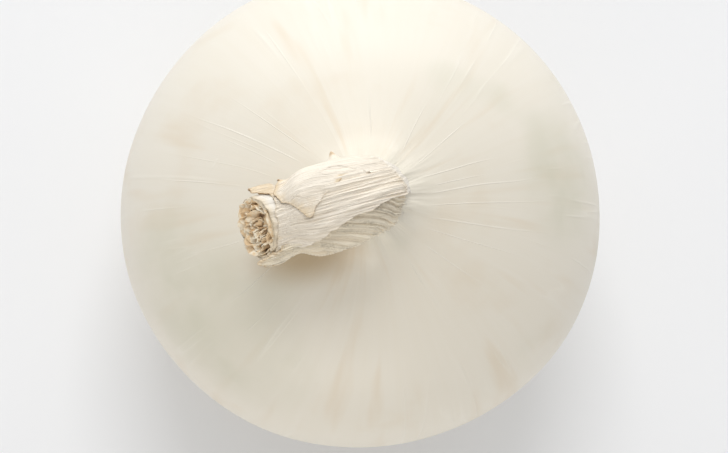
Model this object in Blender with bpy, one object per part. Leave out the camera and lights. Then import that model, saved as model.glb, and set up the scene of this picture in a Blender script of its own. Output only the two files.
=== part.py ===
"""White onion that stands on its root end, with its dried neck bent over to one side.

Metres, +Z up. The origin is the middle of the flat ring that the onion rests on, and the
neck leans towards -X. Each object is one grown piece: the bulb with the neck that its
scales are drawn up into, the dry leaf sheaths round that neck, the cut leaf bases in its
end, and the root disc with its rootlets.
"""

import math
import random

import bmesh
import bpy
from mathutils import Vector, noise

MM = 0.001

# The bulb
BULB_RADIUS = 45 * MM
EQUATOR_HEIGHT = 39 * MM
CROWN_RISE = 37 * MM  # from the equator to where the shoulders would meet
FLAT_RADIUS = 13 * MM  # outer edge of the flat ring that it rests on
HOLLOW_RADII = (7.8 * MM, 9.3 * MM, 10 * MM)  # root hollow: floor, half way down, rim
HOLLOW_DEPTH = 5 * MM
FLARE_RISE = 7.5 * MM  # how far the shoulders are drawn up towards the neck
FLARE_REACH = 3.1 * MM
FLARE_SPREAD = 0.5  # radius gained for each step down the flare
LOBES = ((2, 0.008, 0.6), (3, 0.005, 2.1), (5, 0.0025, 4.0))  # count, share of the radius, phase

# The neck, measured along its own bent middle line
NECK_SHIFT = 3 * MM  # how far the neck's foot stands towards -X
NECK_LENGTH = 25 * MM
NECK_BASE_RADIUS = 6 * MM
NECK_HALF_WIDTH = 5.1 * MM
NECK_HALF_THICKNESS = 4.2 * MM
NECK_TIP_SHARE = 1.04  # tip width over middle width
NECK_TAPER_REACH = 3.4 * MM
BEND_LENGTH = 12 * MM
BEND_ANGLE = math.radians(106)
LIFT_START = 13.5 * MM  # from here the tip turns up again
LIFT_ANGLE = math.radians(22)
CUT_SLANT_START = 15 * MM
CUT_SLANT = math.radians(30)  # how far the cut end faces up from square
MOUTH_SHARE = 0.84  # inside of the cut end, over its outside
MOUTH_LIP_SHARE = 0.96
MOUTH_LIP_DEPTH = 0.6 * MM
MOUTH_DEPTH = 3 * MM

# Pleats that run from the neck down over the shoulders
PLEATS = 14
PLEAT_DEPTH_NECK = 0.32 * MM
PLEAT_DEPTH_TIP = 0.13 * MM
PLEAT_DEPTH_BULB = 0.12 * MM
PLEAT_REACH = 9.3 * MM  # how far down the shoulders the deep pleats fade

# Dry sheaths round the neck: distances along it, angles in degrees round it
GAP = 0.35 * MM
SHEATH_THICKNESS = 0.7 * MM
SHEATH_CLEARANCE = GAP + PLEAT_DEPTH_NECK  # from the neck's mean surface
SHEATH_BELLY = 0.9 * MM  # how much further they stand off half way along
SHEATH_WAVE = 0.2 * MM
WRAP_START = -4.5 * MM
WRAP_END = 20.5 * MM
WRAP_TEAR = 1.1 * MM
WRAP_EDGE = (-6, -10, -22, -36, -58, -78)  # from foot to tip
WRAP_FAR_EDGE = 156
WRAP_LIFT = 0.5 * MM  # over the lower sheath
TONGUE_LENGTH = 4.6 * MM  # pointed end of the wrap, on the upper side of the tip
TONGUE_MIDDLE = 84
TONGUE_SPREAD = 17
TONGUE_LIFT = 1.7 * MM
UPPER_START = -3.5 * MM
UPPER_END = 16.4 * MM
UPPER_FAR_END = 19.6 * MM
UPPER_TEAR = 1 * MM
UPPER_WAVE = 0.08 * MM
UPPER_EDGE = (26, 24, 26, 27, 14, -3)
UPPER_FAR_EDGE = 140
LOWER_START = -4 * MM
LOWER_END = 21.5 * MM
LOWER_TEAR = 0.7 * MM
LOWER_POINTS = 1.7 * MM  # how far the points of its end reach
LOWER_TUCK = 14  # how far it reaches in under the wrap
LOWER_FAR_EDGE = -150
LOWER_LOOSE = 1.3 * MM

# Crumpled leaf bases in the cut end
CUT_ROLLS = 3
CUT_ROLL_DEPTH = 0.55 * MM
CUT_CRUMPLE_DEPTH = 1.1 * MM
CUT_CRUMPLE_SCALE = 2.2
CUT_MEAN_DEPTH = 0.9 * MM

# Root disc and rootlets
DISC_RADIUS = 6.8 * MM
DISC_THICKNESS = 1.5 * MM
ROOTLETS = 54
ROOTLET_RADIUS = 0.4 * MM
ROOTLET_SINK = 0.8 * MM  # how deep it stands in the disc
ROOTLET_REACH = (0.8 * MM, 2.6 * MM)
ROOTLET_FALL = (1.4 * MM, 2.4 * MM)
ROOTLET_SWAY = 0.5
GOLDEN_ANGLE = math.radians(137.5)
ROOT_SEED = 11

# Mesh fineness
SEGMENTS = 64
SIDE_RINGS = 14
CROWN_RINGS = 15
NECK_RINGS = 15
MIDLINE_STEPS = 24
CUT_SEGMENTS = 32
CUT_RINGS = 10
DISC_SEGMENTS = 28
ROOTLET_STEPS = 4

# Base colour, roughness
FINISHES = {
    "skin": ((0.80, 0.74, 0.62), 0.45),
    "sheath": ((0.82, 0.74, 0.60), 0.60),
    "cut_leaf": ((0.52, 0.38, 0.20), 0.80),
    "root": ((0.42, 0.30, 0.17), 0.85),
}


def smooth_step(value, start, end):
    share = min(1.0, max(0.0, (value - start) / (end - start)))
    return share * share * (3 - 2 * share)


def between(low, high, share):
    return low + (high - low) * share


def turns_of(count):
    return [2 * math.pi * number / count for number in range(count)]


def clear_scene():
    for obj in list(bpy.data.objects):
        bpy.data.objects.remove(obj, do_unlink=True)


def finish_of(name):
    material = bpy.data.materials.get(name)
    if material is None:
        colour, roughness = FINISHES[name]
        material = bpy.data.materials.new(name)
        material.use_nodes = True
        shader = material.node_tree.nodes["Principled BSDF"]
        shader.inputs["Base Color"].default_value = (*colour, 1.0)
        shader.inputs["Roughness"].default_value = roughness
        shader.inputs["Metallic"].default_value = 0.0
    return material


def object_from(bm, name, finish):
    bmesh.ops.recalc_face_normals(bm, faces=bm.faces)
    mesh = bpy.data.meshes.new(name)
    bm.to_mesh(mesh)
    bm.free()
    mesh.shade_smooth()
    mesh.set_sharp_from_angle(angle=math.radians(40))
    obj = bpy.data.objects.new(name, mesh)
    obj.data.materials.append(finish_of(finish))
    bpy.context.collection.objects.link(obj)
    return obj


def loft(bm, rings):
    """Skins a band of faces between each ring and the next, and closes both ends."""
    made = [[bm.verts.new(point) for point in ring] for ring in rings]
    for lower, upper in zip(made, made[1:]):
        for number in range(len(lower)):
            after = (number + 1) % len(lower)
            bm.faces.new((lower[number], lower[after], upper[after], upper[number]))
    for ring in (made[0], made[-1]):
        cap = bm.faces.new(ring)
        bmesh.ops.poke(bm, faces=[cap])


# Shoulders and flare: the skin's rings rise and drift towards -X where they meet the neck


def crown_height(radius):
    """Height of the shoulders at this radius."""
    dome = EQUATOR_HEIGHT + CROWN_RISE * math.sqrt(max(0.0, 1 - (radius / BULB_RADIUS) ** 2))
    return dome + FLARE_RISE * math.exp((NECK_BASE_RADIUS - radius) / FLARE_REACH)


def centre_shift(radius):
    """X of the middle of the skin's ring at this radius."""
    return -NECK_SHIFT * math.exp((NECK_BASE_RADIUS - radius) / (2 * FLARE_REACH))


def flare_point(distance, around, outwards):
    """Point over the flare, square to its slope, for a distance below 0."""
    radius = NECK_BASE_RADIUS - distance * FLARE_SPREAD
    drop = crown_height(radius - GAP) - crown_height(radius + GAP)
    slope = math.atan2(drop, 2 * GAP)
    up = outwards * math.cos(slope) * smooth_step(-distance, 0, 2 * MM)
    reach = radius + outwards * math.sin(slope)
    centre = Vector((centre_shift(radius), 0, crown_height(radius) + up))
    return centre + reach * Vector((math.cos(around), math.sin(around), 0))


# The neck's middle line and cross-section


def lean_at(distance):
    """Angle of the middle line from the vertical, towards -X."""
    lean = BEND_ANGLE * smooth_step(distance, 0, BEND_LENGTH)
    return lean - LIFT_ANGLE * smooth_step(distance, LIFT_START, NECK_LENGTH)


def neck_centre(distance):
    """Point of the middle line this far along it, from the neck's foot."""
    step = distance / MIDLINE_STEPS
    point = Vector((centre_shift(NECK_BASE_RADIUS), 0, crown_height(NECK_BASE_RADIUS)))
    for number in range(MIDLINE_STEPS):
        lean = lean_at((number + 0.5) * step)
        point += Vector((-math.sin(lean), 0, math.cos(lean))) * step
    return point


def neck_half_sizes(distance):
    """(thickness, width) halves of the neck's oval: round at the foot, flatter beyond it."""
    foot = math.exp(-distance / NECK_TAPER_REACH)
    taper = between(1, NECK_TIP_SHARE, smooth_step(distance, BEND_LENGTH, NECK_LENGTH))
    thickness = between(NECK_HALF_THICKNESS * taper, NECK_BASE_RADIUS, foot)
    width = between(NECK_HALF_WIDTH * taper, NECK_BASE_RADIUS, foot)
    return thickness, width


def pleat(around, depth):
    """Height of the pleats, which are unevenly spaced round the neck."""
    wander = 0.35 * math.sin(2 * around + 1.0) + 0.25 * math.sin(3 * around)
    return depth * math.cos(PLEATS * around + wander)


def neck_point(distance, around, outwards=0.0, share=1.0):
    """Point on the neck's side. around is 0 on the outer side of the bend, 90 degrees at +Y.

    outwards moves it off the surface, and share scales the cross-section. A distance
    below 0 goes on down the flare that joins the neck to the shoulders.
    """
    if distance < 0:
        return flare_point(distance, around, outwards)
    thickness, width = neck_half_sizes(distance)
    slant = CUT_SLANT * smooth_step(distance, CUT_SLANT_START, NECK_LENGTH)
    lean = lean_at(distance)
    outer_side = Vector((math.cos(lean), 0, math.sin(lean)))
    onwards = Vector((-math.sin(lean), 0, math.cos(lean)))
    up = (thickness * share + outwards) * math.cos(around)
    sideways = (width * share + outwards) * math.sin(around)
    leant_back = onwards * up * math.tan(slant)
    return neck_centre(distance) + outer_side * up + Vector((0, sideways, 0)) - leant_back


def mouth_point(share, depth, around):
    """Point inside the cut end, this deep behind its rim."""
    lean = lean_at(NECK_LENGTH)
    inwards = Vector((math.sin(lean), 0, -math.cos(lean)))
    return neck_point(NECK_LENGTH, around, share=share) + inwards * depth


# The bulb and its neck are one skin, from the floor of the root hollow to the cut end


def lobed(around):
    """Radius over the mean radius: a grown bulb is never quite round."""
    return 1 + sum(size * math.cos(count * around + phase) for count, size, phase in LOBES)


def side_point(radius, height, around, lobe_share, neck_share=0.0):
    radius *= between(1, lobed(around), lobe_share)
    depth = between(PLEAT_DEPTH_BULB, PLEAT_DEPTH_NECK, neck_share)
    radius += pleat(around, depth) * smooth_step(height, 0, EQUATOR_HEIGHT / 2)
    shift = centre_shift(radius) if neck_share else 0.0
    return Vector((radius * math.cos(around) + shift, radius * math.sin(around), height))


def hollow_rings(turns):
    heights = (HOLLOW_DEPTH, HOLLOW_DEPTH / 2, 0.0)
    for radius, height in zip(HOLLOW_RADII, heights):
        yield [Vector((radius * math.cos(turn), radius * math.sin(turn), height)) for turn in turns]


def side_rings(turns):
    for number in range(SIDE_RINGS):
        rise = math.pi / 2 * number / SIDE_RINGS
        radius = between(FLAT_RADIUS, BULB_RADIUS, math.sin(rise))
        height = EQUATOR_HEIGHT * (1 - math.cos(rise))
        lobe_share = smooth_step(rise, 0, math.pi / 3)
        yield [side_point(radius, height, turn, lobe_share) for turn in turns]


def crown_rings(turns):
    crown_end = math.acos(NECK_BASE_RADIUS / BULB_RADIUS)
    for number in range(CROWN_RINGS):
        radius = BULB_RADIUS * math.cos(crown_end * number / CROWN_RINGS)
        height = crown_height(radius)
        near_neck = math.exp((NECK_BASE_RADIUS - radius) / PLEAT_REACH)
        yield [side_point(radius, height, turn, 1 - near_neck, near_neck) for turn in turns]


def neck_rings(turns):
    for number in range(NECK_RINGS + 1):
        distance = NECK_LENGTH * number / NECK_RINGS
        near_tip = smooth_step(distance, LIFT_START, NECK_LENGTH)
        depth = between(PLEAT_DEPTH_NECK, PLEAT_DEPTH_TIP, near_tip)
        yield [neck_point(distance, turn, pleat(turn, depth)) for turn in turns]


def mouth_rings(turns):
    lip = (MOUTH_LIP_SHARE, 0.0)
    wall = (MOUTH_SHARE, MOUTH_LIP_DEPTH)
    floor = (MOUTH_SHARE, MOUTH_DEPTH)
    for share, depth in (lip, wall, floor):
        yield [mouth_point(share, depth, turn) for turn in turns]


def make_bulb():
    turns = turns_of(SEGMENTS)
    rings = [
        *hollow_rings(turns),
        *side_rings(turns),
        *crown_rings(turns),
        *neck_rings(turns),
        *mouth_rings(turns),
    ]
    bm = bmesh.new()
    loft(bm, rings)
    return object_from(bm, "bulb", "skin")


# Dry leaf sheaths: thin blades that follow the neck


def ragged(place, size, seed):
    """Torn edge: how far it is from the even line, at a place along it."""
    coarse = noise.noise(Vector((place * 3.1, seed, 0.3)))
    fine = noise.noise(Vector((place * 9.7, seed, 4.1)))
    return size * (coarse + 0.6 * fine)


def long_edge(stops, share):
    """Angle round the neck of a blade's long edge, from evenly spaced stops."""
    place = min(1.0, max(0.0, share)) * (len(stops) - 1)
    first = min(int(place), len(stops) - 2)
    return between(stops[first], stops[first + 1], place - first)


def wrap_edge_at(distance):
    return long_edge(WRAP_EDGE, (distance - WRAP_START) / (WRAP_END - WRAP_START))


def belly(distance):
    """How much further the sheaths stand off the neck here than at their feet and ends."""
    return SHEATH_BELLY * math.sin(math.pi * smooth_step(distance, 0, NECK_LENGTH))


def make_blade(name, spot, stand_off, wave, counts):
    """A thin sheath over the neck, from its two faces and the four edges between them.

    spot(along, across) gives the distance along the neck and the angle round it, for
    the blade's own coordinates from 0 to 1. stand_off gives how far it is off the neck
    there. Both faces are split along the same diagonals, so that they never cross.
    """
    along_count, across_count = counts
    bm = bmesh.new()
    inner, outer = [], []
    for grid, lift in ((inner, 0.0), (outer, SHEATH_THICKNESS)):
        for i in range(along_count + 1):
            row = []
            for j in range(across_count + 1):
                along, across = i / along_count, j / across_count
                distance, angle = spot(along, across)
                around = math.radians(angle)
                off = stand_off(along, across) + wave + pleat(around, wave) + lift
                row.append(bm.verts.new(neck_point(distance, around, off)))
            grid.append(row)
        for i in range(along_count):
            for j in range(across_count):
                near, after = grid[i], grid[i + 1]
                bm.faces.new((near[j], after[j], after[j + 1]))
                bm.faces.new((near[j], after[j + 1], near[j + 1]))
    for i in (0, along_count):
        for j in range(across_count):
            bm.faces.new((inner[i][j], inner[i][j + 1], outer[i][j + 1], outer[i][j]))
    for j in (0, across_count):
        for i in range(along_count):
            bm.faces.new((inner[i][j], inner[i + 1][j], outer[i + 1][j], outer[i][j]))
    return object_from(bm, name, "sheath")


def make_neck_wrap():
    """The pleated sheath: its long edge slants over the lower sheath, and its end has a tongue."""

    def spot(along, across):
        angle = between(WRAP_EDGE[0], WRAP_FAR_EDGE, across)
        tongue = math.exp(-(((angle - TONGUE_MIDDLE) / TONGUE_SPREAD) ** 2))
        end = WRAP_END + TONGUE_LENGTH * tongue + ragged(across, WRAP_TEAR, 1.7)
        distance = between(WRAP_START, end, along)
        return distance, between(wrap_edge_at(distance), WRAP_FAR_EDGE, across)

    def stand_off(along, across):
        distance, angle = spot(along, across)
        past_edge = angle - wrap_edge_at(distance)
        over_lower_sheath = 1 - smooth_step(past_edge, LOWER_TUCK, 2 * LOWER_TUCK)
        layer = (SHEATH_THICKNESS + GAP + WRAP_LIFT) * over_lower_sheath
        curl = TONGUE_LIFT * smooth_step(distance, WRAP_END, WRAP_END + TONGUE_LENGTH)
        return SHEATH_CLEARANCE + belly(distance) + layer + curl

    return make_blade("neck_wrap", spot, stand_off, SHEATH_WAVE, (16, 30))


def make_upper_sheath():
    """The smooth sheath on the +Y side, torn off short of the tip."""

    def spot(along, across):
        torn_end = between(UPPER_END, UPPER_FAR_END, smooth_step(across, 0, 0.6))
        torn_end += ragged(across, UPPER_TEAR, 8.2)
        angle = between(long_edge(UPPER_EDGE, along), UPPER_FAR_EDGE, across)
        return between(UPPER_START, torn_end, along), angle

    def stand_off(along, across):
        wrap_below = 2 * SHEATH_WAVE + SHEATH_THICKNESS + GAP
        return SHEATH_CLEARANCE + belly(spot(along, across)[0]) + wrap_below

    return make_blade("upper_sheath", spot, stand_off, UPPER_WAVE, (13, 16))


def make_lower_sheath():
    """The loose sheath under the wrap's slanting edge, with its end in points."""

    def spot(along, across):
        points = LOWER_POINTS * math.cos(3 * math.pi * across)
        end = LOWER_END + points + ragged(across, LOWER_TEAR, 5.5)
        distance = between(LOWER_START, end, along)
        return distance, between(wrap_edge_at(distance) + LOWER_TUCK, LOWER_FAR_EDGE, across)

    def stand_off(along, across):
        loose = smooth_step(across, 0.3, 0.6) * (0.5 + 0.5 * math.sin(math.pi * along))
        return SHEATH_CLEARANCE + belly(spot(along, across)[0]) + LOWER_LOOSE * loose

    return make_blade("lower_sheath", spot, stand_off, SHEATH_WAVE, (14, 16))


# Cut leaf bases: rolled, crumpled leaf ends that fill the mouth of the neck


def crumpled_depth(share, turn):
    """Depth behind the cut end's rim, flat at the side and crumpled towards the middle."""
    roll = CUT_ROLL_DEPTH * math.cos(2 * math.pi * CUT_ROLLS * share + turn)
    spot = Vector((math.cos(turn), math.sin(turn), 0)) * CUT_CRUMPLE_SCALE * share
    crumple = CUT_CRUMPLE_DEPTH * noise.noise(spot + Vector((3, 1, 2)))
    return CUT_MEAN_DEPTH - (roll + crumple) * smooth_step(1 - share, 0, 0.25)


def make_cut_leaf_bases():
    turns = turns_of(CUT_SEGMENTS)
    side_share = MOUTH_SHARE - GAP / NECK_HALF_THICKNESS
    rings = []
    for depth in (MOUTH_DEPTH - GAP, CUT_MEAN_DEPTH):
        rings.append([mouth_point(side_share, depth, turn) for turn in turns])
    for number in range(1, CUT_RINGS):
        share = 1 - number / CUT_RINGS
        rings.append([mouth_point(side_share * share, crumpled_depth(share, turn), turn) for turn in turns])
    bm = bmesh.new()
    loft(bm, rings)
    return object_from(bm, "cut_leaf_bases", "cut_leaf")


# Root disc with its rootlets


def rootlet_points(number, draw):
    """Middle line of one rootlet, from inside the disc, down and outwards over the hollow.

    The rootlets stand evenly over the disc, as seeds do on a seed head.
    """
    turn = number * GOLDEN_ANGLE + draw.uniform(-0.2, 0.2)
    start = 0.9 * DISC_RADIUS * math.sqrt((number + 0.5) / ROOTLETS)
    reach = draw.uniform(*ROOTLET_REACH)
    fall = draw.uniform(*ROOTLET_FALL)
    sway = draw.uniform(-ROOTLET_SWAY, ROOTLET_SWAY)
    underside = HOLLOW_DEPTH - GAP - DISC_THICKNESS
    points = []
    for step in range(ROOTLET_STEPS + 1):
        share = step / ROOTLET_STEPS
        radius = start + reach * share**1.4
        angle = turn + sway * share
        height = underside + ROOTLET_SINK * (1 - share) - fall * share
        points.append(Vector((radius * math.cos(angle), radius * math.sin(angle), height)))
    return points


def make_rootlet(name, points):
    """A closed four-sided tube that thins towards its end."""
    curve = bpy.data.curves.new(name, "CURVE")
    curve.dimensions = "3D"
    curve.bevel_depth = ROOTLET_RADIUS
    curve.bevel_resolution = 0
    curve.use_fill_caps = True
    spline = curve.splines.new("POLY")
    spline.points.add(len(points) - 1)
    for number, point in enumerate(points):
        spline.points[number].co = (*point, 1)
        spline.points[number].radius = between(1.25, 0.75, number / (len(points) - 1))
    guide = bpy.data.objects.new(name, curve)
    bpy.context.collection.objects.link(guide)
    bpy.context.view_layer.update()
    graph = bpy.context.evaluated_depsgraph_get()
    mesh = bpy.data.meshes.new_from_object(guide.evaluated_get(graph))
    bpy.data.objects.remove(guide, do_unlink=True)
    bm = bmesh.new()
    bm.from_mesh(mesh)
    bmesh.ops.remove_doubles(bm, verts=bm.verts, dist=GAP / 1000)
    bmesh.ops.recalc_face_normals(bm, faces=bm.faces)
    bm.to_mesh(mesh)
    bm.free()
    return bpy.data.objects.new(name, mesh)


def make_disc():
    top = HOLLOW_DEPTH - GAP
    bottom = top - DISC_THICKNESS
    outline = ((0.86, top), (1.0, top - 0.4 * MM), (0.97, bottom + 0.3 * MM), (0.6, bottom - 0.3 * MM))
    rings = []
    for share, height in outline:
        radius = DISC_RADIUS * share
        rings.append([
            Vector((radius * math.cos(turn), radius * math.sin(turn), height))
            for turn in turns_of(DISC_SEGMENTS)
        ])
    bm = bmesh.new()
    loft(bm, rings)
    return object_from(bm, "root_tuft", "root")


def make_root_tuft():
    disc = make_disc()
    draw = random.Random(ROOT_SEED)
    rootlets = bpy.data.collections.new("rootlets")
    bpy.context.scene.collection.children.link(rootlets)
    for number in range(ROOTLETS):
        rootlets.objects.link(make_rootlet(f"rootlet_{number:02d}", rootlet_points(number, draw)))
    union = disc.modifiers.new("rootlets", "BOOLEAN")
    union.operation = "UNION"
    union.operand_type = "COLLECTION"
    union.collection = rootlets
    union.solver = "MANIFOLD"
    bpy.context.view_layer.update()
    graph = bpy.context.evaluated_depsgraph_get()
    fused = bpy.data.meshes.new_from_object(disc.evaluated_get(graph))
    disc.modifiers.clear()
    disc.data = fused
    for rootlet in list(rootlets.objects):
        bpy.data.objects.remove(rootlet, do_unlink=True)
    bpy.data.collections.remove(rootlets)
    return disc


def main():
    clear_scene()
    make_bulb()
    make_neck_wrap()
    make_upper_sheath()
    make_lower_sheath()
    make_cut_leaf_bases()
    make_root_tuft()


main()
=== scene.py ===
import math
import random

import bpy
import numpy as np
from mathutils import Matrix, Vector, noise


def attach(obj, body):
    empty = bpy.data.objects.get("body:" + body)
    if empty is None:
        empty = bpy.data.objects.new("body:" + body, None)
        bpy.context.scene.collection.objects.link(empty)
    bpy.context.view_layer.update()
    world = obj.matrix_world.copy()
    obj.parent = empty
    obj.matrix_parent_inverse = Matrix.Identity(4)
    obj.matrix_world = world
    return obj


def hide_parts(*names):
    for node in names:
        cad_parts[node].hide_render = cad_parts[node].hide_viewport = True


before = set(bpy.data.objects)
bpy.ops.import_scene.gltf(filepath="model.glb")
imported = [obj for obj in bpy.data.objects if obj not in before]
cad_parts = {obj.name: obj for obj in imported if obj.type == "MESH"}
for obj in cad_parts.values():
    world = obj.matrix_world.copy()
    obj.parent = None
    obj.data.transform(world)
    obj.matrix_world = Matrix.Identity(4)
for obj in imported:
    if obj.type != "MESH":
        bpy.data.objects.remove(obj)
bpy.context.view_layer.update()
bpy.ops.object.select_all(action="DESELECT")    # loading leaves the nodes selected
mm = 0.001

# The form of the bulb and of its bent neck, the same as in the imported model
form = {
    "bulbRadius": 45 * mm,
    "equatorHeight": 39 * mm,
    "crownRise": 37 * mm,
    "flatRadius": 13 * mm,      # the flat ring that it rests on
    "flareRise": 7.5 * mm,      # how far the shoulders are drawn up to the neck
    "flareReach": 3.1 * mm,
    "flareSpread": 0.5,
    "flareBlend": 2 * mm,       # over this far a lift turns from sideways to square to the flare
    "lobes": ((2, 0.008, 0.6), (3, 0.005, 2.1), (5, 0.0025, 4.0)),
    "neckShift": 3 * mm,        # the neck's foot stands this far off the middle
    "neckLength": 25 * mm,
    "footRadius": 6 * mm,
    "halfWidth": 5.1 * mm,
    "halfThickness": 4.2 * mm,
    "tipShare": 1.04,
    "taperReach": 3.4 * mm,
    "bendLength": 12 * mm,
    "bendAngle": math.radians(106),
    "liftStart": 13.5 * mm,     # from here the tip turns up again
    "liftAngle": math.radians(22),
    "slantStart": 15 * mm,
    "cutSlant": math.radians(30),
    "cutBack": 0.45 * mm,       # half of what the cut end's underside is shorter by
    "pleats": 14,
}

# the folds that the neck is gathered into: they run on from the sheaths into the skin
neckFolds = {
    "sway": 0.04,
    "swayRate": 260,            # in radians per metre, as the skew
    "skew": 6,
    "sharpness": 2.0,
    "ridges": ((0.7, 8, 55, 5.0), (0.5, 17, 110, 8.0)),     # depth, then count, stretch and seed
}


def eased(value, start, end):
    share = np.clip((np.asarray(value, float) - start) / (end - start), 0, 1)
    return share * share * (3 - 2 * share)


def blend(low, high, share):
    return low + (high - low) * share


def hump(value, middle, spread):
    return np.exp(-(((value - middle) / spread) ** 2))


def noiseAt(x, y, z):
    spots = np.stack(np.broadcast_arrays(x, y, z), axis=-1).reshape(-1, 3).tolist()
    return np.array([noise.noise(spot) for spot in spots])


def streakNoise(around, along, count, stretch, seed):
    # noise that runs lengthwise: count cells per radian round it, stretch cells per metre along it
    return noiseAt(count * np.cos(around), count * np.sin(around), along * stretch + seed)


def creases(around, along, count, stretch, seed, sharpness):
    # narrow ridges with wide flats between them, as in dry leaf
    off = sharpness * np.abs(streakNoise(around, along, count, stretch, seed))
    return (1 - np.clip(off, 0, 1)) ** 2


def gathers(around, distance):
    sway = neckFolds["sway"] * np.sin(distance * neckFolds["swayRate"])
    skewed = around + sway + neckFolds["skew"] * distance
    return sum(depth * creases(skewed, distance, *ridge, neckFolds["sharpness"])
               for depth, *ridge in neckFolds["ridges"])


def ringPoint(reach, around, height, shift=0):
    return np.stack([reach * np.cos(around) + shift, reach * np.sin(around), height + 0 * around], axis=-1)


def shoulderHeight(radius):
    dome = np.sqrt(np.clip(1 - (radius / form["bulbRadius"]) ** 2, 0, 1))
    flare = np.exp((form["footRadius"] - radius) / form["flareReach"])
    return form["equatorHeight"] + form["crownRise"] * dome + form["flareRise"] * flare


def ringShift(radius):
    return -form["neckShift"] * np.exp((form["footRadius"] - radius) / (2 * form["flareReach"]))


def leanAt(distance):
    lean = form["bendAngle"] * eased(distance, 0, form["bendLength"])
    return lean - form["liftAngle"] * eased(distance, form["liftStart"], form["neckLength"])


# the neck's middle line, as a table to look up
lineAt = np.linspace(0, 1.3 * form["neckLength"], 700)
lineLean = leanAt((lineAt[1:] + lineAt[:-1]) / 2)
lineX = ringShift(form["footRadius"]) - np.append(0, np.cumsum(np.sin(lineLean))) * lineAt[1]
lineZ = shoulderHeight(form["footRadius"]) + np.append(0, np.cumsum(np.cos(lineLean))) * lineAt[1]


def onNeck(distance, around, outwards=0.0, share=1.0):
    # a point over the neck's side, or over the flare below it where the distance is negative
    distance, around, outwards = np.broadcast_arrays(
        np.asarray(distance, float), np.asarray(around, float), np.asarray(outwards, float))
    along = np.clip(distance, 0, None)
    foot = np.exp(-along / form["taperReach"])
    taper = blend(1, form["tipShare"], eased(along, form["bendLength"], form["neckLength"]))
    thick = blend(form["halfThickness"] * taper, form["footRadius"], foot)
    wide = blend(form["halfWidth"] * taper, form["footRadius"], foot)
    lean = leanAt(along)
    up = (thick * share + outwards) * np.cos(around)
    back = up * np.tan(form["cutSlant"] * eased(along, form["slantStart"], form["neckLength"]))
    neckSpot = np.stack([
        np.interp(along, lineAt, lineX) + np.cos(lean) * up + np.sin(lean) * back,
        (wide * share + outwards) * np.sin(around),
        np.interp(along, lineAt, lineZ) + np.sin(lean) * up - np.cos(lean) * back], axis=-1)
    radius = form["footRadius"] - np.clip(distance, None, 0) * form["flareSpread"]
    step = 0.35 * mm
    slope = np.arctan2(shoulderHeight(radius - step) - shoulderHeight(radius + step), 2 * step)
    reach = radius + outwards * np.sin(slope)
    rise = outwards * np.cos(slope) * eased(-distance, 0, form["flareBlend"])
    flareSpot = ringPoint(reach, around, shoulderHeight(radius) + rise, ringShift(radius))
    return np.where((distance < 0)[..., None], flareSpot, neckSpot)


def cutBack(around):
    return form["cutBack"] * (1 - np.cos(around))


def inMouth(share, depth, around):
    # a point inside the cut end, at a share of the neck's width and a depth under the cut
    depth = depth + cutBack(around) * share
    lean = leanAt(form["neckLength"])
    inwards = np.array([math.sin(lean), 0, -math.cos(lean)])
    return onNeck(form["neckLength"], around, 0, share) + np.multiply.outer(depth, inwards)


def pleatWave(around):
    # the pleats aren't quite even
    wander = 0.35 * np.sin(2 * around + 1.0) + 0.25 * np.sin(3 * around)
    return np.cos(form["pleats"] * around + wander)


def lobed(around):
    return 1 + sum(size * np.cos(count * around + phase) for count, size, phase in form["lobes"])


# helpers for the meshes

def selectOnly(piece):
    bpy.ops.object.select_all(action="DESELECT")
    piece.select_set(True)
    bpy.context.view_layer.objects.active = piece


def pointsOf(piece, what="co"):
    points = np.empty(len(piece.data.vertices) * 3)
    piece.data.vertices.foreach_get(what, points)
    return points.reshape(-1, 3)


def movePoints(piece, points):
    piece.data.vertices.foreach_set("co", np.ascontiguousarray(points).ravel())
    piece.data.update()


def storeFlow(piece, around, along):
    # what the veins follow
    layer = piece.data.attributes.new("flow", "FLOAT_VECTOR", "POINT")
    layer.data.foreach_set("vector", ringPoint(1, around, along).ravel())


def storeNumber(piece, name, values):
    layer = piece.data.attributes.new(name, "FLOAT", "POINT")
    layer.data.foreach_set("value", np.ascontiguousarray(values, dtype=np.float32))


def makeBall(name, segments, rings):
    bpy.ops.mesh.primitive_uv_sphere_add(segments=segments, ring_count=rings, radius=1)
    piece = bpy.context.object
    piece.name = name
    ball = pointsOf(piece)
    return piece, ball, np.arctan2(ball[:, 1], ball[:, 0])


def thicken(piece, thickness, offset):
    selectOnly(piece)
    bpy.ops.object.modifier_add(type="SOLIDIFY")
    solidify = piece.modifiers[-1]
    solidify.thickness, solidify.offset = thickness, offset
    bpy.ops.object.modifier_apply(modifier=solidify.name)


def finishPiece(piece, finish, node):
    selectOnly(piece)
    bpy.ops.object.shade_smooth()
    piece.data.materials.append(finish)
    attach(piece, "root")
    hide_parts(node)


# helpers for the finishes

def nodeIn(tree, kind, inputs=None, **settings):
    made = tree.nodes.new(kind)
    for name, value in settings.items():
        setattr(made, name, value)
    for name, value in (inputs or {}).items():
        if isinstance(value, bpy.types.NodeSocket):
            tree.links.new(value, made.inputs[name])
        else:
            made.inputs[name].default_value = value
    return made


def mathIn(tree, operation, first, second=None):
    inputs = {0: first} if second is None else {0: first, 1: second}
    return nodeIn(tree, "ShaderNodeMath", inputs, operation=operation).outputs[0]


def timesIn(tree, first, second):
    return mathIn(tree, "MULTIPLY", first, second)


def vectorIn(tree, operation, first, second, output="Vector"):
    made = nodeIn(tree, "ShaderNodeVectorMath", {0: first, 1: second}, operation=operation)
    return made.outputs[output]


def mixIn(tree, factor, first, second):
    made = nodeIn(tree, "ShaderNodeMix", {"Factor": factor}, data_type="RGBA")
    for socket, value in ((made.inputs[6], first), (made.inputs[7], second)):
        if isinstance(value, bpy.types.NodeSocket):
            tree.links.new(value, socket)
        else:
            socket.default_value = (*value, 1)
    return made.outputs[2]


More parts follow.
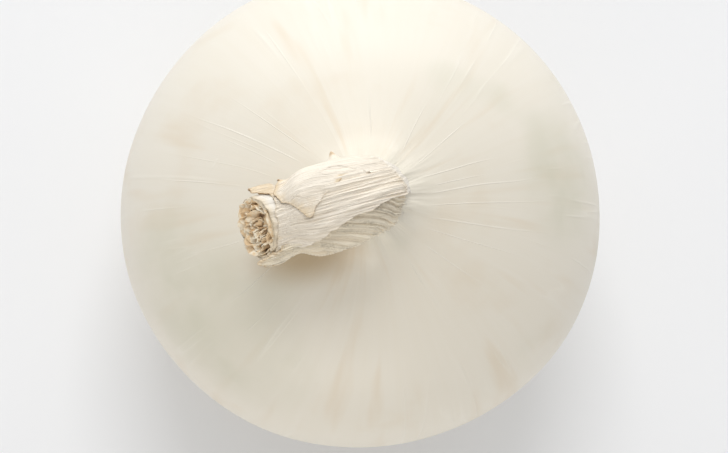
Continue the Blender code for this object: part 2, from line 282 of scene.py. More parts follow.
def rangeIn(tree, value, low, high, toLow=0.0, toHigh=1.0):
    return nodeIn(tree, "ShaderNodeMapRange", {
        "Value": value, "From Min": low, "From Max": high, "To Min": toLow, "To Max": toHigh},
        clamp=True, interpolation_type="SMOOTHSTEP").outputs["Result"]


def grainIn(tree, place, scale, detail):
    made = nodeIn(tree, "ShaderNodeTexNoise", {"Vector": place, "Scale": scale, "Detail": detail})
    return made.outputs["Fac"]


def attributeIn(tree, name, output="Fac"):
    return nodeIn(tree, "ShaderNodeAttribute", attribute_name=name).outputs[output]


def makeGroup(name, inputs, outputs):
    # an input without a value is a vector, the others and the outputs are numbers
    group = bpy.data.node_groups.new(name, "ShaderNodeTree")
    for socketName, value in inputs.items():
        kind = "NodeSocketVector" if value is None else "NodeSocketFloat"
        socket = group.interface.new_socket(name=socketName, in_out="INPUT", socket_type=kind)
        if value is not None:
            socket.default_value = value
    for socketName in outputs:
        group.interface.new_socket(name=socketName, in_out="OUTPUT", socket_type="NodeSocketFloat")
    return group, group.nodes.new("NodeGroupInput").outputs, group.nodes.new("NodeGroupOutput").inputs


def makeLeafVeins():
    # lengthwise veins and streaks of a scale leaf, on the "flow" attribute
    group, given, out = makeGroup("leafVeins", {
        "Flow": None, "Count": 10.0, "Stretch": 1.0, "Seed": 0.0, "Sharpness": 6.0}, ("Vein", "Tone"))
    x, y, z = nodeIn(group, "ShaderNodeSeparateXYZ", {0: given["Flow"]}).outputs
    spot = nodeIn(group, "ShaderNodeCombineXYZ", {
        0: timesIn(group, x, given["Count"]), 1: timesIn(group, y, given["Count"]),
        2: mathIn(group, "ADD", timesIn(group, z, given["Stretch"]), given["Seed"])})
    tone = nodeIn(group, "ShaderNodeTexNoise", {
        "Vector": spot.outputs[0], "Scale": 1.0, "Detail": 2.0, "Roughness": 0.5}).outputs["Fac"]
    off = mathIn(group, "ABSOLUTE", mathIn(group, "SUBTRACT", tone, 0.5))
    ridge = mathIn(group, "SUBTRACT", 1.0, timesIn(group, off, given["Sharpness"]))
    vein = mathIn(group, "POWER", mathIn(group, "MAXIMUM", ridge, 0.0), 2.0)
    group.links.new(vein, out["Vein"])
    group.links.new(tone, out["Tone"])
    return group


def veinsIn(tree, flow, count, stretch, seed, sharpness):
    return nodeIn(tree, "ShaderNodeGroup", {
        "Flow": flow, "Count": count, "Stretch": stretch, "Seed": seed, "Sharpness": sharpness},
        node_tree=leafVeins).outputs


def makeStrayVein():
    # one fine vein that stands out on the shoulders: a straight ridge from Start towards Along
    group, given, out = makeGroup("strayVein", {
        "Place": None, "Wander": 0.0, "Start": None, "Along": None, "Length": 0.02, "Width": 0.0003},
        ("Vein",))
    offset = vectorIn(group, "SUBTRACT", given["Place"], given["Start"])
    across = vectorIn(group, "CROSS_PRODUCT", given["Along"], (0, 0, 1))
    reached = vectorIn(group, "DOT_PRODUCT", offset, given["Along"], "Value")
    aside = vectorIn(group, "DOT_PRODUCT", offset, across, "Value")
    aside = mathIn(group, "ABSOLUTE", mathIn(group, "ADD", aside, given["Wander"]))
    ridge = rangeIn(group, mathIn(group, "DIVIDE", aside, given["Width"]), 0.0, 1.0, 1.0, 0.0)
    # it sets in quickly and fades out over its far half
    share = mathIn(group, "DIVIDE", reached, given["Length"])
    window = timesIn(group, rangeIn(group, share, 0.0, 0.15), rangeIn(group, share, 0.5, 1.0, 1.0, 0.0))
    group.links.new(timesIn(group, ridge, window), out["Vein"])
    return group


def startFinish(name, look):
    finish = bpy.data.materials.new(name)
    finish.use_nodes = True
    tree = finish.node_tree
    shader = tree.nodes["Principled BSDF"]
    shader.inputs["Roughness"].default_value = look["roughness"]
    return finish, tree, shader, nodeIn(tree, "ShaderNodeTexCoord").outputs["Object"]


def endFinish(tree, shader, look, colour, relief):
    bump = nodeIn(tree, "ShaderNodeBump", {
        "Strength": look["bump"], "Distance": look["bumpDepth"], "Height": relief})
    tree.links.new(colour, shader.inputs["Base Color"])
    tree.links.new(bump.outputs["Normal"], shader.inputs["Normal"])


skinLook = {
    "ivory": (0.785, 0.725, 0.61),
    "cream": (0.81, 0.76, 0.66),
    "tan": (0.72, 0.60, 0.44),
    "olive": (0.655, 0.63, 0.50),
    "vein": (0.88, 0.84, 0.75),
    "neck": (0.84, 0.79, 0.71),
    "worn": (0.72, 0.58, 0.38),         # at the rim of the cut end
    "rootEnd": (0.62, 0.47, 0.30),
    # painted shadow: a brown shade on the skin under the neck, where the neck's shadow falls
    "paintedShadow": (0.47, 0.34, 0.18),
    "paintedShadowShape": (0.55, 1, 0.5),       # squeezes space, which makes the painted shadow longer than it is wide
    "paintedShadowPlace": (-7.2 * mm, -5.0 * mm, 36 * mm),      # in the squeezed space
    "dullPlaces": ((-36, -5, 60, 19), (-29, -21, 61, 16), (35, -6, 61, 15)),   # x, y, z and reach in mm
    "roughness": 0.50,
    "coat": 0.3,
    "coatRoughness": 0.38,
    "bump": 0.6,
    "bumpDepth": 0.12 * mm,
    "veinShare": 0.35,                  # how much of the veins' colour shows
    "strayRelief": 0.75,
    "strayWander": 1.3 * mm,
    # patterns that run lengthwise: count, stretch, seed and sharpness
    "fine": (20.0, 0.30, 0.0, 9.0),
    "wide": (5.0, 0.10, 31.0, 34.0),
    "patches": (2.6, 0.55, 12.0, 6.0),
    "streaks": (7.0, 0.35, 52.0, 6.0),
    # patterns that run no way: scale and detail
    "blotches": (75.0, 3.0),
    "dapples": (42.0, 2.0),
    "sway": (70.0, 0.5),
    # ranges: from, to, and the share at each. Distances from the neck's foot along the skin are in cm
    "fineCream": (0.3, 0.75, 0.0, 0.3),
    # painted light: the skin grows paler away from the neck, down the shoulders and on the sides, for the
    # sheen and the floor's bounce light there
    "paintedSideSheen": (0.8, 4.2, 0.0, 0.6),
    "tanBlotches": (0.54, 0.76, 0.0, 0.25),
    "tanStreaks": (0.55, 0.78, 0.0, 0.45),
    "oliveDapples": (0.53, 0.72, 0.0, 0.45),
    "dullBlotches": (0.35, 0.65, 0.3, 0.85),
    "byNeck": (0.0, 0.7, 0.8, 0.0),
    # how far out the painted shadow under the neck reaches, and how strong it is
    "underNeck": (2.2 * mm, 8.2 * mm, 0.82, 0.0),
    "atRim": (-2.3, -2.48, 0.0, 0.75),
    "byRoot": (9 * mm, 0.5 * mm),
    "rootStreaks": (0.2, 0.7, 0.4, 1.0),
    "wideVeins": (2.4, 4.2, 0.12, 0.8),
    "veinPatches": (0.46, 0.62),
    "strayHeight": (44 * mm, 50 * mm),
    "strayBlotches": (0.4, 0.58, 0.35, 1.0),
    "fineRelief": (0.3, 1.4, 0.4, 0.05),
    # the veins that stand out on the shoulders: start x, y, end x, y in mm, and width in mm
    "strayVeins": (
        (-11.0, 9.2, -28.4, 25.4, 0.19), (-16.4, 8.1, -32.9, 18.9, 0.15), (-21.8, 7.9, -38.0, 15.8, 0.18),
        (-9.0, 10.5, -20.5, 26.0, 0.13), (-24.1, -0.6, -36.3, -0.4, 0.18), (-20.0, -6.0, -33.0, -12.5, 0.12),
        (-15.5, 10.4, -24.0, 18.6, 0.12), (6.5, 3.6, 22.0, 10.5, 0.16), (7.0, 1.6, 23.8, 1.8, 0.18),
        (7.4, -1.4, 31.8, -3.6, 0.20), (7.2, -3.4, 33.8, -8.6, 0.15), (6.6, -5.4, 30.5, -14.4, 0.22),
        (6.0, -7.2, 23.5, -16.8, 0.14), (4.8, -9.5, 15.5, -20.9, 0.24), (5.5, 6.6, 14.5, 15.8, 0.13),
        (9.5, -0.2, 20.5, -0.9, 0.12), (1.6, -11.0, 7.5, -28.0, 0.11), (1.2, 10.2, 4.3, 20.4, 0.13),
        (-24.9, 14.7, -26.9, 12.7, 0.30)),
}


def makeSkinFinish():
    look = skinLook
    finish, tree, shader, place = startFinish("onionSkin", look)
    shader.inputs["Coat Weight"].default_value = look["coat"]
    shader.inputs["Coat Roughness"].default_value = look["coatRoughness"]
    flow = attributeIn(tree, "flow", "Vector")
    along = nodeIn(tree, "ShaderNodeSeparateXYZ", {0: flow}).outputs[2]
    height = nodeIn(tree, "ShaderNodeSeparateXYZ", {0: place}).outputs[2]
    fine, wide, patches, streaks = (
        veinsIn(tree, flow, *look[name]) for name in ("fine", "wide", "patches", "streaks"))
    blotch, dapple, sway = (grainIn(tree, place, *look[name]) for name in ("blotches", "dapples", "sway"))

    def shareOf(value, name):
        return rangeIn(tree, value, *look[name])

    wander = timesIn(tree, mathIn(tree, "SUBTRACT", sway, 0.5), look["strayWander"])
    stray = 0.0
    for x, y, endX, endY, width in look["strayVeins"]:
        reach = Vector((endX - x, endY - y, 0)) * mm
        vein = nodeIn(tree, "ShaderNodeGroup", {
            "Place": place, "Wander": wander, "Start": (x * mm, y * mm, 0),
            "Along": reach.normalized(), "Length": reach.length, "Width": width * mm}, node_tree=strayVein)
        stray = mathIn(tree, "MAXIMUM", stray, vein.outputs["Vein"])
    stray = timesIn(tree, stray, shareOf(height, "strayHeight"))
    stray = timesIn(tree, stray, shareOf(blotch, "strayBlotches"))
    # elsewhere the veins come at random, and mostly low on the shoulders and on the sides
    scattered = timesIn(tree, shareOf(patches["Tone"], "veinPatches"), shareOf(along, "wideVeins"))
    scattered = timesIn(tree, wide["Vein"], scattered)
    veins = timesIn(tree, mathIn(tree, "MAXIMUM", scattered, stray), look["veinShare"])
    dull = 0.0
    for *spot, reach in look["dullPlaces"]:
        away = vectorIn(tree, "DISTANCE", place, Vector(spot) * mm, "Value")
        dull = mathIn(tree, "MAXIMUM", dull, rangeIn(tree, away, 0.2 * reach * mm, reach * mm, 1.0, 0.0))
    # painted shadow under the neck, reckoned in the squeezed space
    squeezed = vectorIn(tree, "MULTIPLY", place, look["paintedShadowShape"])
    under = vectorIn(tree, "DISTANCE", squeezed, look["paintedShadowPlace"], "Value")
    rootward = timesIn(tree, shareOf(height, "byRoot"), shareOf(streaks["Tone"], "rootStreaks"))
    # the fine pale streaks are the skin's own tone; the paling away from the neck is painted light
    paling = mathIn(tree, "ADD", shareOf(fine["Tone"], "fineCream"), shareOf(along, "paintedSideSheen"))
    colour = mixIn(tree, paling, look["ivory"], look["cream"])
    for share, tint in (
            (shareOf(blotch, "tanBlotches"), "tan"), (shareOf(streaks["Tone"], "tanStreaks"), "tan"),
            (shareOf(dapple, "oliveDapples"), "olive"),
            (timesIn(tree, dull, shareOf(blotch, "dullBlotches")), "olive"),
            (shareOf(along, "byNeck"), "neck"), (shareOf(under, "underNeck"), "paintedShadow"),
            (shareOf(along, "atRim"), "worn"), (rootward, "rootEnd"), (veins, "vein")):
        colour = mixIn(tree, share, colour, look[tint])
    relief = mathIn(tree, "ADD", timesIn(tree, fine["Vein"], shareOf(along, "fineRelief")), scattered)
    relief = mathIn(tree, "ADD", relief, timesIn(tree, stray, look["strayRelief"]))
    endFinish(tree, shader, look, colour, relief)
    return finish


sheathLook = {
    # the two finishes: colour, how much the straw streaks show, and how much painted shade darkens the
    # folds' bottoms
    "whiteSheath": ((0.935, 0.85, 0.725), 0.28, 0.38),
    "strawSheath": ((0.98, 0.885, 0.71), 0.35, 0.6),
    "straw": (0.76, 0.64, 0.475),
    "tan": (0.78, 0.62, 0.41),
    "torn": (0.46, 0.28, 0.13),
    "roughness": 0.62,
    "bump": 0.6,
    "bumpDepth": 0.26 * mm,
    "fine": (34.0, 1.6, 7.0, 7.0),
    "wide": (14.0, 0.9, 3.0, 8.0),
    "specks": (900.0, 3.0),
    "speckled": 0.45,                   # how much the specks break up the torn colours
    # ranges, as in the skin's look
    "foot": (-0.35, 0.35, 0.9, 0.0),
    "tanned": (0.08, 0.5, 0.0, 0.85),
    "browned": (0.55, 0.95, 0.0, 0.85),
    "folds": (-0.3, 0.08),
    "strawStreaks": (0.4, 0.72),
}


def makeSheathFinish(name):
    look = sheathLook
    white, strawShare, foldShadeShare = look[name]
    finish, tree, shader, place = startFinish(name, look)
    flow = attributeIn(tree, "flow", "Vector")
    fine, wide = veinsIn(tree, flow, *look["fine"]), veinsIn(tree, flow, *look["wide"])
    streaks = rangeIn(tree, wide["Tone"], *look["strawStreaks"], 0.0, strawShare)
    colour = mixIn(tree, streaks, white, look["straw"])
    # painted shade: the bottoms of the folds are darker and more straw coloured
    folds = rangeIn(tree, attributeIn(tree, "fold"), *look["folds"], foldShadeShare, 0.0)
    colour = mixIn(tree, folds, colour, look["straw"])
    # at its foot it has the skin's colour
    distance = nodeIn(tree, "ShaderNodeSeparateXYZ", {0: flow}).outputs[2]
    colour = mixIn(tree, rangeIn(tree, distance, *look["foot"]), colour, skinLook["neck"])
    # up to a half torn it is tan, beyond that it turns brown
    speck = mathIn(tree, "SUBTRACT", grainIn(tree, place, *look["specks"]), 0.5)
    torn = mathIn(tree, "ADD", attributeIn(tree, "torn"), timesIn(tree, speck, look["speckled"]))
    colour = mixIn(tree, rangeIn(tree, torn, *look["tanned"]), colour, look["tan"])
    colour = mixIn(tree, rangeIn(tree, torn, *look["browned"]), colour, look["torn"])
    relief = mathIn(tree, "ADD", timesIn(tree, fine["Vein"], 0.4), timesIn(tree, wide["Vein"], 0.6))
    endFinish(tree, shader, look, colour, relief)
    return finish


cutLook = {
    "pale": (0.92, 0.84, 0.68),
    "tan": (0.80, 0.60, 0.37),
    # painted shade, for the deep parts of the roll and for the plug
    "dark": (0.15, 0.08, 0.035),
    "roughness": 0.85,
    "bump": 0.7,
    "bumpDepth": 0.3 * mm,
    "specks": (700.0, 4.0),
}


def makeCutFinish():
    finish, tree, shader, place = startFinish("cutLeaf", cutLook)
    torn = attributeIn(tree, "torn")
    speck = grainIn(tree, place, *cutLook["specks"])
    # painted shade: low down in the roll, and on the plug, it is nearly black
    deep = mixIn(tree, rangeIn(tree, torn, 0.0, 0.7), cutLook["dark"], cutLook["tan"])
    worn = mixIn(tree, rangeIn(tree, torn, 0.2, 0.9), cutLook["tan"], cutLook["pale"])
    colour = mixIn(tree, rangeIn(tree, speck, 0.42, 0.62), deep, worn)
    endFinish(tree, shader, cutLook, colour, speck)
    return finish


rootLook = {
    "straw": (0.55, 0.42, 0.26),
    "brown": (0.30, 0.20, 0.11),
    "roughness": 0.85,
    "bump": 0.7,
    "bumpDepth": 0.3 * mm,
    "specks": (500.0, 4.0),
}


def makeRootFinish():
    finish, tree, shader, place = startFinish("rootFibre", rootLook)
    speck = grainIn(tree, place, *rootLook["specks"])
    colour = mixIn(tree, rangeIn(tree, speck, 0.35, 0.68), rootLook["brown"], rootLook["straw"])
    endFinish(tree, shader, rootLook, colour, speck)
    return finish


# the skin is one closed surface, from the floor of the mouth to the top of the root hollow

skin = {
    "segments": 384,
    # rings inside the mouth: share of the neck's width, depth in mm
    "mouth": ((0.3, 3), (0.6, 3), (0.8, 3), (0.84, 2.7), (0.84, 2), (0.84, 1.3), (0.845, 0.7),
              (0.86, 0.3), (0.89, 0.08), (0.93, 0), (0.97, 0.1)),
    "neckRings": 50,
    "crownRings": 118,
    "sideRings": 58,
    # rings of the flat ring and the root hollow: radius, height in mm
    "hollow": ((13, 0), (11.5, 0), (10, 0), (9.8, 0.4), (9.5, 1.5), (9.2, 2.5), (8.6, 3.6), (7.8, 4.8),
               (7.2, 5), (5, 5), (2.5, 5)),
    "mouthDepth": 3 * mm,
    "hollowHeight": 5 * mm,
    "wear": ((0.45 * mm, 2.6, 7.7), (0.3 * mm, 9, 3.7)),    # of the mouth's rim: depth, count and seed
    "wearMean": 0.15 * mm,
    "wallUpper": 0.10,          # the mouth's wall is this share thicker at the neck's upper side
    "wallUnder": 0.08,          # and thinner at its underside
    "shrink": 0.12 * mm,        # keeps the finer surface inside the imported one
    "pleatNeck": 0.26 * mm,
    "pleatTip": 0.13 * mm,
    "pleatBulb": 0.01 * mm,
    "pleatReach": 4.5 * mm,
    "creaseNeck": 0.28 * mm,
    "creaseTip": 0.10 * mm,
    "creaseBulb": 0.004 * mm,
    "creaseReach": 3.6 * mm,
    "creaseShift": 2 * mm,      # towards the neck, high on the shoulders
    # the creases reach furthest on the side that the neck is bent away from
    "creaseTurn": math.radians(4),
    "creaseSpread": math.radians(48),
    "creaseElsewhere": 0.10,
    "tipCreases": (12, 80, 2.0, 2.6),       # count, stretch, seed and sharpness
    "dents": (2.0, 16, 4.0),                # count, stretch and seed
    "dentDepth": 0.175 * mm,
}


def skinStations():
    stations = [("mouth", share, depth * mm) for share, depth in skin["mouth"]]
    for number in range(skin["neckRings"]):
        share = 1 - number / skin["neckRings"]
        stations.append(("neck", form["neckLength"] * share ** 0.7, 0))
    crownEnd = math.acos(form["footRadius"] / form["bulbRadius"])
    for number in range(skin["crownRings"]):
        rise = crownEnd * (1 - (number / skin["crownRings"]) ** 1.6)
        stations.append(("crown", form["bulbRadius"] * math.cos(rise), 0))
    for number in range(skin["sideRings"]):
        stations.append(("side", math.pi / 2 * (1 - number / skin["sideRings"]), 0))
    return stations + [("hollow", radius * mm, height * mm) for radius, height in skin["hollow"]]


def skinRing(station, around):
    kind, place, depth = station
    if kind == "mouth":
        worn = sum(deep * streakNoise(around, 0, count, 1, seed) for deep, count, seed in skin["wear"])
        atRim = eased(depth, 1.5 * mm, 0)
        inner = eased(place, 0.99, 0.9) * eased(place, 0.2, 0.8)
        thick = skin["wallUpper"] * hump(np.cos(around), 1, 0.5)
        thick = thick - skin["wallUnder"] * (0.5 - 0.5 * np.cos(around))
        return inMouth(place - thick * inner, depth + (worn + skin["wearMean"]) * atRim, around)
    if kind == "neck":
        atTip = eased(place, form["liftStart"], form["neckLength"])
        pleat = blend(skin["pleatNeck"], skin["pleatTip"], atTip)
        place = place - cutBack(around) * eased(place, 18 * mm, form["neckLength"])
        return onNeck(place, around, pleat * pleatWave(around))
    if kind == "hollow":
        return ringPoint(place, around, depth)
    if kind == "side":
        radius = blend(form["flatRadius"], form["bulbRadius"], math.sin(place))
        height = form["equatorHeight"] * (1 - math.cos(place))
        nearNeck, shift, lobeShare = 0.0, 0.0, eased(place, 0, math.pi / 3)
    else:
        radius, height = place, shoulderHeight(place)
        nearNeck = math.exp((form["footRadius"] - radius) / skin["pleatReach"])
        shift, lobeShare = ringShift(radius), 1 - nearNeck
    reach = radius * blend(1, lobed(around), lobeShare) - skin["shrink"] * (1 - nearNeck)
    pleat = blend(skin["pleatBulb"], skin["pleatNeck"], nearNeck)
    reach = reach + pleat * pleatWave(around) * eased(height, 0, form["equatorHeight"] / 2)
    return ringPoint(reach, around, height, shift)


def makeSkin(finish):
    stations = skinStations()
    last = len(stations) + 1
    piece, ball, around = makeBall("skin", skin["segments"], last)
    ring = np.rint(np.arccos(np.clip(ball[:, 2], -1, 1)) / math.pi * last).astype(int)
    points, along = np.zeros_like(ball), np.zeros(len(ball))
    middle = skinRing(stations[0], np.zeros(1))[0]
    reached = -form["neckLength"]
    for number, station in enumerate(stations, 1):
        members = ring == number
        points[members] = skinRing(station, around[members])
        front = skinRing(station, np.zeros(1))[0]
        reached += np.linalg.norm(front - middle) if station[0] != "mouth" else 0
        middle = front
        along[members] = reached
    points[ring == 0] = inMouth(0.0, skin["mouthDepth"], np.zeros(1))[0]
    points[ring == last] = (0, 0, skin["hollowHeight"])
    along[ring == 0], along[ring == last] = -form["neckLength"], reached
    movePoints(piece, points)

    # creases near the neck, soft dents everywhere else
    kinds = np.array(["pole", *(station[0] for station in stations), "pole"])[ring]
    onCrown, onSide, onTube = kinds == "crown", kinds == "side", kinds == "neck"
    x, y, z = points.T
    shifted = x + skin["creaseShift"] * eased(z, 60 * mm, 80 * mm)
    beyondFoot = np.hypot(shifted, y) - form["footRadius"]
    nearNeck = np.clip(np.where(onCrown, np.exp(-beyondFoot / skin["creaseReach"]), onTube), 0, 1)
    turned = np.angle(np.exp(1j * (around - skin["creaseTurn"])))
    stretched = blend(skin["creaseElsewhere"], 1, hump(turned, 0, skin["creaseSpread"]))
    depth = blend(skin["creaseBulb"], skin["creaseNeck"] * stretched, nearNeck)
    dents = skin["dentDepth"] * (streakNoise(around, along, *skin["dents"]) - 0.8)
    relief = depth * (gathers(around, -along) - 1) + dents * (1 - nearNeck)
    atTip = onTube & (along < -form["neckLength"] + 6 * mm)
    tipRelief = skin["creaseTip"] * (creases(around, along, *skin["tipCreases"]) - 0.6)
    relief = np.where(atTip, tipRelief, relief)
    relief *= np.where(onSide, eased(z, 0, 9 * mm), onCrown | onTube)
    movePoints(piece, points + relief[:, None] * pointsOf(piece, "normal"))
    storeFlow(piece, around, along / (10 * mm))
    finishPiece(piece, finish, "bulb")


# the dry sheaths round the neck

def makePaper(name, alongCount, acrossCount):
    bpy.ops.mesh.primitive_grid_add(
        x_subdivisions=alongCount, y_subdivisions=acrossCount, size=1, location=(0.5, 0.5, 0))
    paper = bpy.context.object
    paper.name = name
    bpy.ops.object.transform_apply(location=True, rotation=False, scale=False)
    along, across = np.clip(pointsOf(paper), 0, 1).T[:2]
    return paper, along, across


def ragged(place, size, seed):
    return size * sum(share * noiseAt(place * rate, seed, layer) for share, rate, layer in sheaths["ragged"])


def waver(place, parts):
    # each part is a size, a rate and a seed
    return sum(size * noiseAt(place * rate, seed, 0) for size, rate, seed in parts)


def alongTable(value, table):
    places, amounts = zip(*table)
    return np.interp(value, places, amounts)


def pleatsAt(around, distance, depth, *pattern, level=0):
    return depth * (creases(around, distance, *pattern) - level)


def bentPaper(name, counts, spotAt, standOffAt, reliefAt, twistAt=None):
    # spotAt gives the distance along the neck, the angle round it and how torn the paper is there, for
    # 0 to 1 along and across the paper. twistAt gives how far the pleats are turned round the neck
    paper, along, across = makePaper(name, *counts)
    distance, angle, torn = spotAt(along, across)
    around = np.radians(angle)
    leafAround = around + twistAt(distance) if twistAt else around
    relief = reliefAt(distance, leafAround)
    movePoints(paper, onNeck(distance, around, standOffAt(along, across, distance, angle) + relief))
    storeFlow(paper, leafAround, distance / (10 * mm))
    storeNumber(paper, "torn", torn)
    # the folds' height, which the finish turns into painted shade in their bottoms
    storeNumber(paper, "fold", relief / mm)
    # its faces all turn the same way, and that has to be away from the neck
    face = paper.data.polygons[len(paper.data.polygons) // 2]
    centre = Vector(onNeck(np.mean(distance), 0, 0, 0))
    if face.normal.dot(face.center - centre) < 0:
        paper.data.flip_normals()
    thicken(paper, sheaths["thickness"], -1)
    return paper


# in the tables of the sheaths, distances along the neck are in mm and angles round it in degrees

sheaths = {
    "thickness": 0.16 * mm,
    "clearance": 0.67 * mm,     # over the neck's mean surface
    "tipClearance": 0.30 * mm,
    "belly": 0.9 * mm,          # how much further they stand off half way along
    "footSink": 0.5 * mm,       # how deep a foot goes down into the skin
    "footEnd": 1.5 * mm,
    "pointLift": 1.25 * mm,     # of the wrap's pointed end and of what lies over it
    "ragged": ((1, 3.1, 0.3), (0.6, 9.7, 4.1), (0.3, 41, 7.7)),     # of a torn end: size, rate and seed
}

wrap = {
    "counts": (130, 260),
    "start": -5.0 * mm,
    "edge": ((-4.5, -6), (0.5, -6), (5.5, -11), (10.5, -31), (15.5, -47), (20.5, -60)),
    "waver": ((5, 7, 3.3), (3, 23, 6.3)),
    "far": 156,
    # its end: angle, distance. It has a tan tongue at its far side
    "ends": ((-80, 24.2), (-30, 24.4), (14, 24.2), (28, 22.9), (50, 22.0), (64, 21.6), (72, 22.6),
             (78, 24.4), (86, 24.2), (96, 23.8), (106, 23.2), (114, 22.0), (125, 21.0), (156, 21.0)),
    "ragged": 0.5 * mm,
    "overInner": 0.5 * mm,      # how far it stands off the inner sheaths
    "overLower": 0.6 * mm,      # and how much further along its edge, over the lower one
    "edgeLift": 0.08 * mm,
    # how tan its parts are, and how tan its end is: share, and reach in mm
    "point": 0.45,
    "tongue": 0.4,
    "foot": 0.3,
    "nearEdge": 0.3,
    "pointEnd": ((0.4, 0.25),),
    "plainEnd": ((0.12, 0.3), (0.2, 2.5)),
    "gatherDepth": 0.35 * mm,
    "gatherTip": 0.14 * mm,
    # its pleats: depth, count, stretch, seed and sharpness. Its swells: count, stretch and seed
    "fine": (0.13 * mm, 24, 150, 33.0, 2.0),
    "swellDepth": 0.16 * mm,
    "swells": (3, 170, 1.0),
}

upper = {
    "counts": (130, 200),
    "start": -3.6 * mm,
    "edge": ((-4, 30), (2, 32), (6, 34), (8.8, 39), (10.3, 24), (12, 4), (14, -10), (24, -10)),
    "waver": ((5, 6, 6.1), (3, 21, 2.1)),
    "far": 140,
    # its torn end: share of the way across, distance
    "ends": ((0, 13.4), (0.03, 14.5), (0.13, 16.2), (0.21, 18.6), (0.26, 21.2), (0.39, 21.5),
             (0.547, 20.5), (0.627, 18.7), (0.8, 18.2), (1, 18.0)),
    "ragged": 0.8 * mm,
    "torn": ((0.42, 2.6), (0.36, 0.3)),
    "overWrap": 0.6 * mm,
    "overWrapEnd": 0.35 * mm,
    "overPoint": 0.9,           # share of the wrap's lifted point that it follows
    # a scrap that stands out at the far side: distance and its spread, angle and its spread
    "scrap": (8.3, 1.1, 103, 10),
    "scrapLift": 2.0 * mm,
    "tipBrown": 0.7,
    "pleats": (0.14 * mm, 5, 60, 15.0, 2.2),
    "fine": (0.05 * mm, 15, 120, 18.0, 2.0),
    "swellDepth": 0.22 * mm,
    "swells": (2, 130, 11.0),
}

lower = {
    "counts": (130, 150),
    "start": -1.6 * mm,
    "tuck": 14,                 # it reaches this far in under the wrap's edge
    "far": -150,
    # its end, in two flaps under the tip: angle, distance
    "ends": ((-150, 20.5), (-112, 21.0), (-101, 23.6), (-92, 22.2), (-84, 25.6), (-74, 27.0),
             (-66, 26.0), (-56, 23.6), (0, 22.0)),
    "ragged": 0.35 * mm,
    "torn": ((0.3, 1.2), (0.35, 0.25)),
    "loose": 0.7 * mm,
    "looseUnder": 0.5 * mm,
    "flare": 1.2 * mm,
    "fill": 0.35 * mm,
    "twist": -0.12,             # of its pleats, in radians for each mm between the two distances
    "twisted": (4, 14),
    "pleats": (0.55 * mm, 11, 55, 25.0, 2.0),
    "fine": (0.2 * mm, 20, 90, 28.0, 2.0),
}


def wrapEdgeAt(distance):
    return alongTable(distance / mm, wrap["edge"])


def tornAt(distance, end, parts):
    # how torn the paper is near its end
    toEnd = np.clip((end - distance) / mm, 0, None)
    return sum(share * np.exp(-toEnd / reach) for share, reach in parts)


def snugLift(distance):
    # how far the inner sheaths stand off the neck: they belly out half way and lie close at the tip
    belly = np.sin(math.pi * eased(distance, 0, form["neckLength"]))
    lift = sheaths["clearance"] + sheaths["belly"] * belly
    return blend(lift, sheaths["tipClearance"], eased(distance, 14 * mm, 21 * mm))


def sunkFoot(lift, distance, start):
    return blend(-sheaths["footSink"], lift, eased(distance, start, sheaths["footEnd"]) ** 0.9)


def wrapLift(distance, angle):
    nearTip = eased(distance, 13 * mm, 20 * mm)
    byEdge = (1 - eased(angle - wrapEdgeAt(distance), 10, 28)) * eased(distance, -1 * mm, 5 * mm)
    overLower = wrap["overLower"] * byEdge * (1 - 0.75 * nearTip)
    return snugLift(distance) + wrap["overInner"] * (1 - nearTip) + overLower


def makeNeckWrap(finish):
    def spotAt(along, across):
        angle = blend(wrap["edge"][-1][1], wrap["far"], across)
        end = alongTable(angle, wrap["ends"]) * mm + ragged(across, wrap["ragged"], 1.7)
        distance = blend(wrap["start"], end, along)
        shown = blend(wrapEdgeAt(distance) + waver(along, wrap["waver"]), wrap["far"], across)
        pointed = eased(angle, 52, 62)
        point = wrap["point"] * eased(distance, 18.5 * mm, 21 * mm) + tornAt(distance, end, wrap["pointEnd"])
        tongue = wrap["tongue"] * eased(angle, 96, 104) * eased(distance, 18 * mm, 20 * mm)
        foot = wrap["foot"] * hump(distance, 1 * mm, 3 * mm) * hump(shown, 8, 22)
        nearEdge = wrap["nearEdge"] * np.exp(-across / 0.008) * hump(distance, 9 * mm, 6 * mm)
        torn = blend(tornAt(distance, end, wrap["plainEnd"]), point, pointed) + tongue + foot + nearEdge
        return distance, shown, np.clip(torn, 0, 1)

    def standOffAt(along, across, distance, angle):
        curl = sheaths["pointLift"] * eased(distance, 18.6 * mm, 20.6 * mm) * eased(angle, 70, 90)
        edgeLift = wrap["edgeLift"] * (1 - eased(across, 0, 0.03))
        return sunkFoot(wrapLift(distance, angle) + curl + edgeLift, distance, wrap["start"])

    def reliefAt(distance, around):
        # everything but the swells fades towards the foot, where the wrap lies on the skin
        gathered = blend(wrap["gatherDepth"], wrap["gatherTip"], eased(distance, 9 * mm, 19 * mm))
        gathered = gathered * eased(distance, -4.5 * mm, 4 * mm) * (gathers(around, distance) - 0.8)
        fine = pleatsAt(around + 3 * distance, distance, *wrap["fine"]) * eased(distance, -4 * mm, 3 * mm)
        return gathered + fine + wrap["swellDepth"] * streakNoise(around, distance, *wrap["swells"])

    paper = bentPaper("neckWrap", wrap["counts"], spotAt, standOffAt, reliefAt)
    finishPiece(paper, finish, "neck_wrap")


def scrapAt(distance, angle):
    place, spread, turn, width = upper["scrap"]
    return hump(distance / mm, place, spread) * hump(angle, turn, width)


